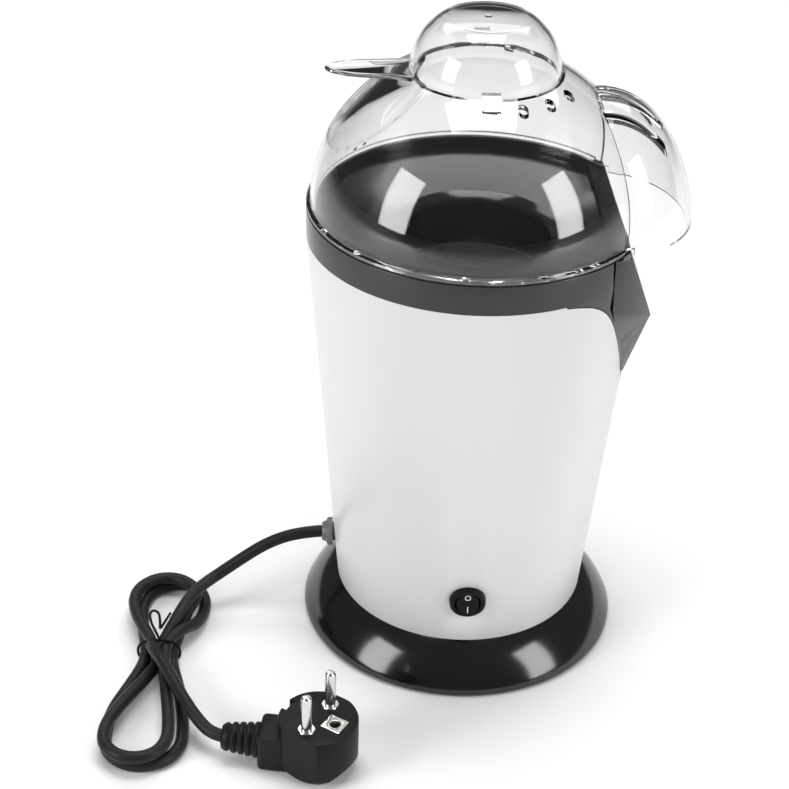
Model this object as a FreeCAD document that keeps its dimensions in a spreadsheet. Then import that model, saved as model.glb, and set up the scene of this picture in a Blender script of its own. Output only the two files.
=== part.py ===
import FreeCAD, Part
import math
import os

import Sketcher

from FreeCAD import Placement, Rotation, Vector

# Hot-air popcorn maker. Units are millimetres, Z is up, the switch faces -Y,
# the outlet hood points to +X and the mains cord leaves at -X.

os.makedirs("parts", exist_ok=True)
doc = FreeCAD.newDocument("popcorn_maker")
dims = doc.addObject("Spreadsheet::Sheet", "dims")

SIZES = [
    # flared base and conical body
    ("skirt_foot_radius", 75.0),
    ("skirt_top_radius", 59.0),
    ("skirt_height", 21.3),
    ("shell_top_radius", 74.8),
    ("shell_top_height", 202.8),
    ("shell_wall", 2.0),
    ("plate_radius", 70.0),
    ("plate_bottom", 3.5),
    ("plate_thickness", 2.5),
    ("foot_radius", 6.0),
    ("foot_ring", 60.0),
    # collar, ramp and funnel
    ("collar_bore", 71.0),
    ("collar_top_height", 216.7),
    ("ramp_top_x", 61.3),
    ("lip_x", 75.0),
    ("lip_height", 178.9),
    ("lip_half_width", 29.4),
    ("notch_gap", 0.25),
    ("throat_radius", 32.4),
    ("throat_bottom", 182.0),
    ("tray_rim_height", 212.0),
    # clear cover
    ("cover_base", 216.8),
    ("cover_wall", 2.0),
    ("dome_radius", 73.3),
    ("dome_rise", 69.4),
    ("dome_top", 277.2),
    ("cover_opening", 28.5),
    ("flange_radius", 74.7),
    ("flange_thickness", 2.4),
    ("hood_x", 50.0),
    ("hood_z", 205.0),
    ("hood_half_length", 43.5),
    ("hood_half_width", 44.5),
    ("hood_half_height", 65.0),
    ("hood_bottom", 213.6),
    # measuring cup used as the cap
    ("cup_radius", 32.1),
    ("cup_curve_height", 27.9),
    ("cup_curve_base", 278.4),
    ("cup_base", 277.4),
    ("cup_top", 301.8),
    ("cup_wall", 1.6),
    ("handle_tip", 67.2),
    # switch, gland and cord
    ("switch_height", 46.0),
    ("bezel_radius", 8.25),
    ("gland_height", 40.0),
    ("gland_radius", 6.75),
    ("cord_radius", 2.9),
    # plug
    ("plug_radius", 17.6),
    ("plug_height", 27.0),
    ("plug_x", -67.2),
    ("plug_y", -118.6),
    ("plug_turn", 57.8),
    ("boot_turn", 171.7),
    ("pin_radius", 2.4),
    ("pin_length", 19.0),
    ("pin_pitch", 19.0),
    # popping chamber, heater and fan
    ("chamber_bore", 31.6),
    ("chamber_wall", 1.0),
    ("chamber_bottom", 112.0),
    ("chamber_top", 181.0),
    ("shroud_bore", 41.0),
    ("shroud_wall", 1.0),
    ("mount_plate_bottom", 56.5),
    ("mount_plate_thickness", 2.5),
    ("fan_radius", 31.0),
    ("fan_bottom", 61.0),
    ("fan_height", 13.0),
    ("shaft_radius", 1.5),
    ("can_radius", 14.0),
    ("can_bottom", 26.0),
]
for row, (alias, size) in enumerate(SIZES, start=1):
    dims.set("A%d" % row, alias)
    dims.set("B%d" % row, str(size))
    dims.setAlias("B%d" % row, alias)
doc.recompute()

NODES = []


def num(term):
    """Number behind a sheet name, a (sheet name, offset) pair or a plain number."""
    if isinstance(term, str):
        return float(dims.get(term))
    if isinstance(term, tuple):
        return float(dims.get(term[0])) + term[1]
    return float(term)


def drive(item, prop, term):
    """Set a property from the sheet, so the part follows the sheet."""
    if isinstance(term, str):
        item.setExpression(prop, "dims.%s" % term)
    elif isinstance(term, tuple):
        item.setExpression(prop, "dims.%s + (%s)" % (term[0], term[1]))
    else:
        setattr(item, prop, term)


def keep(item, label):
    """Name a finished sub-part and list it for export."""
    item.Label = label
    NODES.append(item)
    return item


# ---------------------------------------------------------------- solids

def cylinder(name, radius, height, at=(0, 0, 0), turn=None):
    item = doc.addObject("Part::Cylinder", name)
    drive(item, "Radius", radius)
    drive(item, "Height", height)
    item.Placement = Placement(Vector(*at), turn or Rotation())
    return item


def cone(name, radius_1, radius_2, height, at=(0, 0, 0), turn=None):
    item = doc.addObject("Part::Cone", name)
    drive(item, "Radius1", radius_1)
    drive(item, "Radius2", radius_2)
    drive(item, "Height", height)
    item.Placement = Placement(Vector(*at), turn or Rotation())
    return item


def block(name, length, width, height, at=(0, 0, 0), turn=None):
    item = doc.addObject("Part::Box", name)
    drive(item, "Length", length)
    drive(item, "Width", width)
    drive(item, "Height", height)
    item.Placement = Placement(Vector(*at), turn or Rotation())
    return item


def ellipsoid(name, along_x, along_y, along_z, at):
    item = doc.addObject("Part::Ellipsoid", name)
    drive(item, "Radius1", along_z)
    drive(item, "Radius2", along_x)
    drive(item, "Radius3", along_y)
    item.Angle1 = -90
    item.Angle2 = 90
    item.Angle3 = 360
    item.Placement = Placement(Vector(*at), Rotation())
    return item


def fuse(name, shapes):
    item = doc.addObject("Part::MultiFuse", name)
    item.Shapes = shapes
    return item


def cut(name, base, tools):
    item = doc.addObject("Part::Cut", name)
    item.Base = base
    item.Tool = tools[0] if len(tools) == 1 else fuse(name + "_tools", tools)
    return item


def common(name, base, tool):
    item = doc.addObject("Part::Common", name)
    item.Base = base
    item.Tool = tool
    return item


def ring_of(count, radius, start=0.0):
    """Angle in degrees and x, y of evenly spaced places on a circle."""
    for step in range(count):
        angle = start + 360.0 * step / count
        turn = math.radians(angle)
        yield angle, radius * math.cos(turn), radius * math.sin(turn)


# ---------------------------------------------------------------- sketches

def sketch_in(body, name, role):
    sketch = body.newObject("Sketcher::SketchObject", name)
    plane = [f for f in body.Origin.OriginFeatures if f.Role == role][0]
    sketch.AttachmentSupport = [(plane, "")]
    sketch.MapMode = "FlatFace"
    return sketch


def outline(sketch, corners):
    """Closed loop of lines through the corners, each held by two driven distances."""
    points = [Vector(num(u), num(v), 0) for u, v in corners]
    count = len(points)
    for index in range(count):
        line = Part.LineSegment(points[index], points[(index + 1) % count])
        sketch.addGeometry(line, False)
    for index in range(count):
        following = (index + 1) % count
        sketch.addConstraint(Sketcher.Constraint("Coincident", index, 2, following, 1))
    for index, corner in enumerate(corners):
        for kind, axis, term in (("DistanceX", -2, corner[0]), ("DistanceY", -1, corner[1])):
            if num(term) == 0:
                sketch.addConstraint(Sketcher.Constraint("PointOnObject", index, 1, axis))
                continue
            rule = Sketcher.Constraint(kind, -1, 1, index, 1, num(term))
            place = sketch.addConstraint(rule)
            if not isinstance(term, (int, float)):
                drive(sketch, "Constraints[%d]" % place, term)


def turned(name, corners):
    """Body of revolution about Z from (radius, height) corners."""
    body = doc.addObject("PartDesign::Body", name)
    sketch = sketch_in(body, name + "_profile", "XZ_Plane")
    outline(sketch, corners)
    spin = body.newObject("PartDesign::Revolution", name + "_turn")
    spin.Profile = (sketch, [""])
    spin.ReferenceAxis = (sketch, ["V_Axis"])
    spin.Angle = 360
    body.Tip = spin
    return body


def padded(name, corners, height, role="XY_Plane"):
    """Flat outline given thickness along its normal."""
    body = doc.addObject("PartDesign::Body", name)
    sketch = sketch_in(body, name + "_outline", role)
    outline(sketch, corners)
    pad = body.newObject("PartDesign::Pad", name + "_pad")
    pad.Profile = (sketch, [""])
    drive(pad, "Length", height)
    body.Tip = pad
    return body


def faceted(name, corners, faces):
    """Solid bounded by flat faces, each a list of corner names."""
    sides = []
    for face in faces:
        loop = [Vector(*corners[key]) for key in face]
        sides.append(Part.Face(Part.makePolygon(loop + [loop[0]])))
    solid = Part.makeSolid(Part.makeShell(sides))
    item = doc.addObject("Part::Feature", name)
    item.Shape = solid
    return item


# ---------------------------------------------------------------- base

def flare(radius_shift, height_shift):
    """Points of the convex flare, from the foot up to the body."""
    foot = num("skirt_foot_radius") + radius_shift
    top = num("skirt_top_radius") + radius_shift
    rise = num("skirt_height") - 3.0 + height_shift
    steps = 8
    for step in range(1, steps):
        share = step / steps
        bow = 2.2 * math.sin(math.pi * share)
        yield foot + (top - foot) * share + 0.75 * bow, 3.0 + rise * share + 0.66 * bow


skirt_profile = [("skirt_foot_radius", 1.0), ("skirt_foot_radius", 3.0)]
skirt_profile += list(flare(0.0, 0.0))
skirt_profile += [
    ("skirt_top_radius", "skirt_height"),
    (("skirt_top_radius", -7.0), "skirt_height"),
    (("skirt_top_radius", -7.0), ("skirt_height", -2.0)),
    (("skirt_top_radius", -2.0), ("skirt_height", -2.0)),
]
skirt_profile += list(reversed(list(flare(-2.2, -2.0))))
skirt_profile += [(("skirt_foot_radius", -2.2), 3.0), (("skirt_foot_radius", -2.2), 1.0)]
keep(turned("skirt", skirt_profile), "base_skirt")

plate = cylinder("plate_disc", "plate_radius", "plate_thickness", (0, 0, num("plate_bottom")))
plate_slots = []
for angle, x, y in ring_of(12, 47.0):
    slot = block("plate_slot", 16.0, 4.0, 10.0)
    across = Rotation(Vector(0, 0, 1), angle)
    slot.Placement = Placement(Vector(x, y, 0), across) * Placement(Vector(-8, -2, 0), Rotation())
    plate_slots.append(slot)
plate_boss = cylinder("plate_boss", 12.0, ("plate_bottom", 1.0))
plate_mass = fuse("plate_mass", [plate, plate_boss])
keep(cut("plate_cut", plate_mass, plate_slots), "bottom_plate")

for index, (angle, x, y) in enumerate(ring_of(4, num("foot_ring"), 45.0), start=1):
    foot = cylinder("foot", "foot_radius", "plate_bottom", (x, y, 0))
    keep(foot, "rubber_foot_%d" % index)

# ---------------------------------------------------------------- body shell

shell_profile = [
    ("skirt_top_radius", "skirt_height"),
    ("shell_top_radius", "shell_top_height"),
    (("shell_top_radius", -num("shell_wall")), "shell_top_height"),
    (("skirt_top_radius", -num("shell_wall")), "skirt_height"),
]
shell_blank = turned("shell_blank", shell_profile)


def shell_radius(height):
    """Outer radius of the conical shell at a height."""
    low = num("skirt_height")
    share = (height - low) / (num("shell_top_height") - low)
    return num("skirt_top_radius") + share * (num("shell_top_radius") - num("skirt_top_radius"))


SHIELD = [
    (68.0, 203.5), (66.6, 202.2), (63.0, 200.8), (59.3, 198.8), (56.0, 196.1), (52.8, 192.7),
    (49.3, 188.0), (45.3, 181.3), (41.2, 173.8), (35.7, 164.2), (30.5, 155.5), (25.6, 147.9),
    (21.5, 142.5), (17.3, 138.3), (13.0, 135.2), (9.0, 133.2), (4.5, 132.0),
]


def shield(name, gap):
    """Shield-shaped block along +X; the notch is this block grown by the gap."""
    right = [(half + gap, height - gap) for half, height in SHIELD]
    right[0] = (right[0][0], num("shell_top_height") + 2.0)
    left = [(-half, height) for half, height in reversed(right)]
    body = padded(name, right + left, 60.0, "YZ_Plane")
    body.Placement = Placement(Vector(25, 0, 0), Rotation())
    return body


AXIS_OUT_FRONT = Rotation(Vector(1, 0, 0), 95.3)
AXIS_OUT_LEFT = Rotation(Vector(0, 1, 0), -90)
switch_at = (0, -shell_radius(num("switch_height")), num("switch_height"))
gland_x = -shell_radius(num("gland_height"))

switch_hole = cylinder("switch_hole", ("bezel_radius", 0.1), 20.0, turn=AXIS_OUT_FRONT)
hole_start = Vector(*switch_at) - AXIS_OUT_FRONT.multVec(Vector(0, 0, 10))
switch_hole.Placement = Placement(hole_start, AXIS_OUT_FRONT)
gland_hole = cylinder("gland_hole", 4.6, 20.0, (-50, 0, num("gland_height")), AXIS_OUT_LEFT)
notch = shield("notch", num("notch_gap"))
keep(cut("shell_cut", shell_blank, [notch, switch_hole, gland_hole]), "body_shell")

# ---------------------------------------------------------------- collar, ramp and chin

collar_ring = turned("collar_ring", [
    ("collar_bore", "shell_top_height"),
    ("shell_top_radius", "shell_top_height"),
    ("shell_top_radius", ("collar_top_height", -0.8)),
    (("shell_top_radius", -0.8), "collar_top_height"),
    ("collar_bore", "collar_top_height"),
])
chin_blank = turned("chin_blank", shell_profile)
chin_plate = common("chin_plate", chin_blank, shield("chin_outline", 0.0))

half_corners = {
    "back_top": (53.7, 53.0, 216.0),
    "ramp_top": (num("ramp_top_x"), 48.7, 216.0),
    "lip": (num("lip_x"), num("lip_half_width"), num("lip_height")),
    "tip": (65.9, 25.6, 147.2),
    "back": (54.7, 51.0, 192.5),
}
CHIN_FACES = [
    ["back_top+", "ramp_top+", "ramp_top-", "back_top-"],
    ["ramp_top+", "lip+", "lip-", "ramp_top-"],
    ["lip+", "tip+", "tip-", "lip-"],
    ["back_top+", "back+", "back-", "back_top-"],
    ["back+", "tip+", "tip-", "back-"],
]
for side in ("+", "-"):
    CHIN_FACES.append(["back_top" + side, "ramp_top" + side, "back" + side])
    CHIN_FACES.append(["ramp_top" + side, "lip" + side, "back" + side])
    CHIN_FACES.append(["lip" + side, "tip" + side, "back" + side])


def chin(name, scale):
    """Faceted chin, drawn in towards a point inside it by the scale."""
    middle = Vector(45, 0, 190)
    corners = {}
    for key, (x, y, z) in half_corners.items():
        for side, sign in (("+", 1), ("-", -1)):
            point = middle + (Vector(x, sign * y, z) - middle) * scale
            corners[key + side] = (point.x, point.y, point.z)
    return faceted(name, corners, CHIN_FACES)


ramp_run = num("lip_x") - num("ramp_top_x")
ramp_drop = 216.0 - num("lip_height")
ramp_length = math.hypot(ramp_run, ramp_drop)
ramp_turn = Rotation(Vector(0, 1, 0), -math.degrees(math.atan2(ramp_run, ramp_drop)))
ramp_corner = (num("lip_x"), -60, num("lip_height"))
ramp_clear = block("ramp_clear", 30.0, 120.0, ramp_length + 15.0, ramp_corner, ramp_turn)
collar_mass = fuse("collar_mass", [collar_ring, chin_plate, chin("chin_outer", 1.0)])
keep(cut("collar_cut", collar_mass, [chin("chin_inner", 0.92), ramp_clear]), "top_collar")

tray_blank = turned("tray_blank", [
    ("collar_bore", "tray_rim_height"),
    (66.5, "tray_rim_height"),
    (37.0, ("tray_rim_height", -6.5)),
    ("throat_radius", ("tray_rim_height", -9.5)),
    ("throat_radius", "throat_bottom"),
    (("throat_radius", 1.8), "throat_bottom"),
    (("throat_radius", 1.8), ("tray_rim_height", -10.4)),
    (37.6, ("tray_rim_height", -8.3)),
    (66.8, ("tray_rim_height", -1.8)),
    ("collar_bore", ("tray_rim_height", -1.8)),
])
tray_side = block("tray_side", 30.0, 160.0, 40.0, (59.6, -80, 190))
keep(cut("tray_cut", tray_blank, [tray_side]), "funnel_tray")

# ---------------------------------------------------------------- clear cover

cover_base = num("cover_base")
wall = num("cover_wall")


def dome(name, inset, floor):
    """Dome with the flat finger facet, moved inwards by the inset."""
    radius = ("dome_radius", -inset)
    solid = ellipsoid(name + "_form", radius, radius, ("dome_rise", -inset), (0, 0, cover_base))
    below = block(name + "_below", 200.0, 200.0, 100.0, (-100, -100, floor - 100))
    facet_turn = Rotation(Vector(0, 1, 0), -38.5)
    facet = block(name + "_facet", 120.0, 120.0, 60.0)
    facet_at = Vector(-28, 0, num("dome_top")) - facet_turn.multVec(Vector(0, 0, inset))
    corner = Placement(Vector(-60, -60, 0), Rotation())
    facet.Placement = Placement(facet_at, facet_turn) * corner
    return cut(name, solid, [below, facet])


def hood(name, inset):
    return ellipsoid(
        name,
        ("hood_half_length", -inset),
        ("hood_half_width", -inset),
        ("hood_half_height", -inset),
        (num("hood_x"), 0, num("hood_z")),
    )


hood_low = block("hood_low", 200.0, 200.0, 100.0, (-100, -100, num("hood_bottom") - 100))
hood_step_x = num("ramp_top_x") + 1.6
hood_step_at = (hood_step_x - 200.0, -100, cover_base - 60)
hood_step = block("hood_step", 200.0, 200.0, 60.0, hood_step_at)
hood_outer = cut("hood_outer", hood("hood_outer_form", 0.0), [hood_low, hood_step])

flange = turned("flange", [
    (("flange_radius", -5.4), "cover_base"),
    ("flange_radius", "cover_base"),
    ("flange_radius", ("cover_base", 1.4)),
    (("flange_radius", -0.8), ("cover_base", num("flange_thickness"))),
    (("flange_radius", -5.4), ("cover_base", num("flange_thickness"))),
])
spigot = turned("spigot", [
    (("collar_bore", -2.6), ("cover_base", -3.4)),
    (("collar_bore", -0.6), ("cover_base", -3.4)),
    (("collar_bore", -0.6), ("cover_base", 0.4)),
    (("collar_bore", -2.6), ("cover_base", 0.4)),
])
rim_side = block("rim_side", 40.0, 200.0, 20.0, (58.0, -100, cover_base - 10))
cover_rim = cut("cover_rim", fuse("cover_rim_rings", [flange, spigot]), [rim_side])
cover_mass = fuse("cover_mass", [dome("dome_outer", 0.0, cover_base), hood_outer, cover_rim])

cover_voids = [
    dome("dome_inner", wall, cover_base - 5.0),
    hood("hood_inner", wall),
    cylinder("cup_opening", "cover_opening", 20.0, (0, 0, num("dome_top") - 10.0)),
    cylinder("cup_recess", ("cup_radius", 0.7), 20.0, (0, 0, num("dome_top"))),
]
for angle in (-70, -50, -30, 30, 50, 70):
    turn = math.radians(angle)
    x, y = 38.0 * math.cos(turn), 38.0 * math.sin(turn)
    cover_voids.append(cylinder("vent", 2.2, 30.0, (x, y, 260)))
for y in (-16.2, -5.4, 5.4, 16.2):
    cover_voids.append(block("hood_slot", 28.0, 2.8, 40.0, (48.0, y - 1.4, 240)))
keep(cut("cover_cut", cover_mass, cover_voids), "dome_cover")

# ---------------------------------------------------------------- measuring cup

curve_base = num("cup_curve_base")


def cup_form(name, inset, bottom, top):
    radius = ("cup_radius", -inset)
    form = ellipsoid(name + "_form", radius, radius, ("cup_curve_height", -inset), (0, 0, curve_base))
    span = cylinder(name + "_span", 60.0, top - bottom, (0, 0, bottom))
    return common(name, form, span)


cup_wall = num("cup_wall")
cup_base = num("cup_base")
cup_outer = cup_form("cup_outer", 0.0, cup_base, num("cup_top"))
cup_inner = cup_form("cup_inner", cup_wall, cup_base - 5.0, num("cup_top") - cup_wall)
handle = padded("handle", [
    (-30.6, -12.5), (-36.0, -10.6), (-44.0, -9.0), (-53.0, -8.4), (-60.0, -6.6), (-64.8, -3.6),
    (-num("handle_tip"), -0.8), (-num("handle_tip"), 0.8),
    (-64.8, 3.6), (-60.0, 6.6), (-53.0, 8.4), (-44.0, 9.0), (-36.0, 10.6), (-30.6, 12.5),
], 1.8)
handle.Placement = Placement(Vector(0, 0, cup_base), Rotation())
tab_outer = ellipsoid("tab_outer", 75.3, 75.3, 71.4, (0, 0, cover_base))
tab_inner = ellipsoid("tab_inner", 73.7, 73.7, 69.8, (0, 0, cover_base))
tab_shell = cut("tab_shell", tab_outer, [tab_inner])
tab_span = fuse("tab_span", [
    block("tab_front", 7.6, 9.0, 30.0, (-3.8, -40.5, 262)),
    block("tab_back", 7.6, 9.0, 30.0, (-3.8, 31.5, 262)),
])
tabs = common("tabs", tab_shell, tab_span)
gate_mark = cylinder("gate_mark", 1.6, 1.0, (0, 0, num("cup_top") - 0.4))
cup_solid = cut("cup_solid", cup_outer, [cup_inner])
keep(fuse("cup_all", [cup_solid, handle, tabs, gate_mark]), "measuring_cup")

# ---------------------------------------------------------------- switch and gland

housing_cup = turned("housing_cup", [
    (6.0, 2.2), (7.6, 2.2), ("bezel_radius", 1.6), ("bezel_radius", -2.2), (7.0, -2.2),
    (7.0, -14.0), (0.0, -14.0), (0.0, -12.5), (6.0, -12.5),
])
terminals = [block("terminal", 0.8, 4.8, 7.0, (x - 0.4, -2.4, -20.6)) for x in (-3.5, 3.5)]
housing = fuse("housing", [housing_cup] + terminals)
housing.Placement = Placement(Vector(*switch_at), AXIS_OUT_FRONT)
keep(housing, "switch_housing")

PIVOT = 0.4
rocker_drum = cylinder("rocker_drum", 5.65, 12.0, (-6, 0, PIVOT), Rotation(Vector(0, 1, 0), 90))
rocker_side = padded("rocker_side", [
    (-5.6, -0.8), (5.6, -0.8), (5.6, 1.0), (0.0, 1.8), (-5.6, 4.6),
], 12.0, "YZ_Plane")
rocker_side.Placement = Placement(Vector(-6, 0, 0), Rotation())
rocker_disc = cylinder("rocker_disc", 5.3, 12.0, (0, 0, -4))
rocker = common("rocker", common("rocker_bent", rocker_drum, rocker_side), rocker_disc)
rocker.Placement = Placement(Vector(*switch_at), AXIS_OUT_FRONT)
keep(rocker, "switch_rocker")

gland = turned("gland", [
    (("cord_radius", 0.06), -7.0), (4.5, -7.0), (4.5, 0.9), ("gland_radius", 0.9),
    ("gland_radius", 3.0), (("gland_radius", -1.0), 3.8), (5.0, 3.8), (4.3, 6.0),
    (("cord_radius", 0.06), 6.0),
])
gland.Placement = Placement(Vector(gland_x, 0, num("gland_height")), AXIS_OUT_LEFT)
keep(gland, "cord_gland")


# ---------------------------------------------------------------- cord

def tube(name, corners):
    """Round cord along straight runs joined by tangent arcs."""
    points = [Vector(*corner) for corner in corners]
    edges = []
    start = points[0]
    for before, corner, after in zip(points, points[1:], points[2:]):
        back = before - corner
        ahead = after - corner
        half_turn = (math.pi - back.getAngle(ahead)) / 2.0
        reach = 0.45 * min(back.Length, ahead.Length)
        radius = reach / math.tan(half_turn)
        print("%s: bend radius %.1f mm" % (name, radius))
        enter = corner + back.normalize() * reach
        leave = corner + ahead.normalize() * reach
        inward = (back + ahead).normalize()
        depth = radius / math.cos(half_turn) - radius
        edges.append(Part.LineSegment(start, enter).toShape())
        edges.append(Part.Arc(enter, corner + inward * depth, leave).toShape())
        start = leave
    edges.append(Part.LineSegment(start, points[-1]).toShape())
    path = Part.Wire(edges)
    heading = points[1] - points[0]
    circle = Part.Circle(points[0], heading, num("cord_radius"))
    section = Part.Wire([circle.toShape()])
    solid = path.makePipeShell([section], True, False)
    expected = math.pi * num("cord_radius") ** 2 * path.Length
    print("%s: length %.1f mm, volume ratio %.3f" % (name, path.Length, solid.Volume / expected))
    item = doc.addObject("Part::Feature", name)
    item.Shape = solid
    return item


lead_route = [(-57.0, 0, 40.0), (-87.0, 0, 36.8), (-113.0, 0, 17.0), (-131.5, -5.0, 4.2)]
keep(tube("lead", lead_route), "cord_lead")


def lobe(name, big, big_radius, small, small_radius, height):
    """Upright slab round two circles, the outline of one half of the hank."""
    across = Vector(big[0] - small[0], big[1] - small[1], 0)
    heading = math.degrees(math.atan2(across.y, across.x))
    lean = math.degrees(math.acos((small_radius - big_radius) / across.Length))
    corners = []
    for centre, radius, first, last in (
        (big, big_radius, heading - (180.0 - lean), heading + (180.0 - lean)),
        (small, small_radius, heading + (180.0 - lean), heading + 180.0 + lean),
    ):
        steps = 10
        for step in range(steps + 1):
            angle = math.radians(first + (last - first) * step / steps)
            x = centre[0] + radius * math.cos(angle)
            y = centre[1] + radius * math.sin(angle)
            corners.append((round(x, 3), round(y, 3)))
    return padded(name, corners, height)


HANK_HEIGHT = 12.4
WAIST = (-142.5, -50.5)
hank_outer = [
    lobe("hank_back", (-140.6, -11.5), 18.6, WAIST, 7.5, HANK_HEIGHT),
    lobe("hank_front", (-145.8, -108.6), 19.6, WAIST, 7.5, HANK_HEIGHT),
]
hank_holes = [
    lobe("hank_back_hole", (-141.0, -12.5), 7.5, (-142.0, -30.0), 1.5, 40.0),
    lobe("hank_front_hole", (-146.0, -107.5), 9.0, (-143.0, -74.0), 1.5, 40.0),
]
hank_mass = cut("hank_mass", fuse("hank_lobes", hank_outer), hank_holes)
neck_outer = block("neck_outer", 40.0, 4.0, 30.0, (WAIST[0] - 20, WAIST[1] - 2, -5))
neck_inner = block("neck_inner", 11.4, 6.0, 8.8, (WAIST[0] - 5.7, WAIST[1] - 3, 1.8))
hank = cut("hank", hank_mass, [cut("neck_groove", neck_outer, [neck_inner])])
hank.Placement = Placement(Vector(0, 0, 0.2), Rotation())
keep(hank, "cord_hank")

tie_outer = block("tie_outer", 15.0, 3.0, 12.4, (WAIST[0] - 7.5, WAIST[1] - 1.5, 0.2))
tie_inner = block("tie_inner", 11.4, 8.0, 8.8, (WAIST[0] - 5.7, WAIST[1] - 4, 2.0))
tie_ring = cut("tie_ring", tie_outer, [tie_inner])
tie_twist = cylinder("tie_twist", 1.0, 5.0, (WAIST[0] + 2, WAIST[1], 12.0))
tie_turn = Rotation(Vector(0, 1, 0), 24)
tie_end = cylinder("tie_end", 0.7, 15.0, (WAIST[0] + 2, WAIST[1], 16.0), tie_turn)
keep(fuse("tie", [tie_ring, tie_twist, tie_end]), "cord_tie")

# ---------------------------------------------------------------- plug

plug_at = Vector(num("plug_x"), num("plug_y"), 0)
plug_turn = Rotation(Vector(0, 0, 1), num("plug_turn"))
plug_place = Placement(plug_at, plug_turn)
boot_heading = math.radians(num("boot_turn"))
boot_axis = Vector(math.cos(boot_heading), math.sin(boot_heading), 0)
BOOT_HEIGHT = 10.4
boot_end = plug_at + boot_axis * 43.0 + Vector(0, 0, BOOT_HEIGHT)

tail_route = [
    (-141.4, -53.5, 10.0), (-137.4, -72.0, 17.4), (-126.0, -98.0, 16.0),
    (boot_end.x, boot_end.y, boot_end.z),
]
keep(tube("tail", tail_route), "cord_tail")

boot_profile = [(0.0, -17.0), (8.0, -17.0)]
for rib in range(4):
    low = -16.6 + 3.3 * rib
    big = 7.9 - 0.35 * rib
    boot_profile += [(big, low), (big, low + 1.9), (big - 1.1, low + 2.2), (big - 1.1, low + 3.1)]
boot_profile += [(6.3, -3.2), (5.2, 0.0), (0.0, 0.0)]
boot = turned("boot", boot_profile)
boot.Placement = Placement(boot_end, Rotation(Vector(0, 0, 1), boot_axis))
keep(boot, "plug_boot")

plug_disc = turned("plug_disc", [
    (0.0, 0.2), (("plug_radius", -4.0), 0.2), ("plug_radius", 5.0),
    ("plug_radius", ("plug_height", -0.8)), (("plug_radius", -0.8), "plug_height"),
    (0.0, "plug_height"),
])
heel = block("heel", 60.0, 40.0, 30.0)
heel.Placement = (Placement(Vector(0, -8, 0.2), Rotation(Vector(1, 0, 0), -41.5))
                  * Placement(Vector(-30, -40, -30), Rotation()))
neck = block("plug_neck", 18.0, 18.0, 19.3)
neck.Placement = (Placement(Vector(), Rotation(Vector(0, 0, 1), num("boot_turn") - num("plug_turn")))
                  * Placement(Vector(8, -9, 0.2), Rotation()))
plug_round = cut("plug_round", plug_disc, [
    block("flat_near", 10.0, 60.0, 60.0, (-25.2, -30, -5)),
    block("flat_far", 10.0, 60.0, 60.0, (16.4, -30, -5)),
    heel,
])
plug_mass = fuse("plug_mass", [plug_round, neck])
plug_sides = [
    block("earth_slot", 7.0, 4.0, 24.0, (-3.5, 14.4, 19.8)),
    block("earth_pocket", 9.2, 9.8, 12.0, (-4.6, -13.3, 25.6)),
    cylinder("earth_well", 3.4, 30.0, (0, -8.6, 12.0)),
]
for side in (-1, 1):
    x = side * num("pin_pitch") / 2.0
    plug_sides.append(cylinder("pin_hole", "pin_radius", 20.0, (x, 0, num("plug_height") - 10.0)))
plug_body = cut("plug_body_cut", plug_mass, plug_sides)
plug_body.Placement = plug_place
keep(plug_body, "plug_body")

for index, side in enumerate((-1, 1), start=1):
    x = side * num("pin_pitch") / 2.0
    base = num("plug_height") - 10.0
    shank = cylinder("shank", "pin_radius", ("pin_length", 8.0), (x, 0, base))
    nose_at = (x, 0, base + num("pin_length") + 8.0)
    nose = cone("nose", "pin_radius", ("pin_radius", -1.2), 2.0, nose_at)
    collar_at = (x, 0, num("plug_height"))
    collar = cylinder("pin_collar", ("pin_radius", 1.4), 0.8, collar_at)
    pin = fuse("pin", [shank, nose, collar])
    pin.Placement = plug_place
    keep(pin, "plug_pin_%d" % index)

earth_left = block("earth_left", 4.6, 1.2, 5.4, (-2.3, 14.4, 20.1))
earth_left.Placement = plug_place * earth_left.Placement
keep(earth_left, "earth_clip")
earth_plate = block("earth_plate", 8.8, 9.4, 1.5, (-4.4, -13.1, 25.8))
earth_bore = cylinder("earth_bore", 2.4, 20.0, (0, -8.6, 12.0))
earth_tongue = cylinder("earth_sleeve", 3.2, 13.0, (0, -8.6, 13.0))
earth_socket = cut("earth_socket_cut", fuse("earth_mass", [earth_plate, earth_tongue]), [earth_bore])
earth_socket.Placement = plug_place
keep(earth_socket, "earth_socket")

# ---------------------------------------------------------------- popping chamber and heater

chamber_blank = turned("chamber_blank", [
    (0.0, "chamber_bottom"),
    (("chamber_bore", 1.0), "chamber_bottom"),
    (("chamber_bore", 1.0), ("chamber_top", -1.2)),
    (46.0, ("chamber_top", -1.2)),
    (46.0, "chamber_top"),
    ("chamber_bore", "chamber_top"),
    ("chamber_bore", ("chamber_bottom", 1.2)),
    (0.0, ("chamber_bottom", 1.2)),
])
louvres = []
for angle, x, y in ring_of(12, num("chamber_bore")):
    louvre = block("louvre", 8.0, 1.8, 14.0)
    lean = Rotation(Vector(0, 0, 1), angle + 35.0)
    corner = Placement(Vector(-4, -0.9, 0), Rotation())
    louvre.Placement = Placement(Vector(x, y, 118), lean) * corner
    louvres.append(louvre)
keep(cut("chamber_cut", chamber_blank, louvres), "popping_chamber")

keep(turned("gasket", [
    (("chamber_bore", 0.4), "chamber_top"), (45.0, "chamber_top"),
    (45.0, "throat_bottom"), (("chamber_bore", 0.4), "throat_bottom"),
]), "chamber_gasket")

mount_top = ("mount_plate_bottom", num("mount_plate_thickness"))
keep(turned("shroud", [
    ("shroud_bore", mount_top), (("shroud_bore", 1.0), mount_top),
    (("shroud_bore", 1.0), ("chamber_top", -1.2)), ("shroud_bore", ("chamber_top", -1.2)),
]), "heater_shroud")

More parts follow.
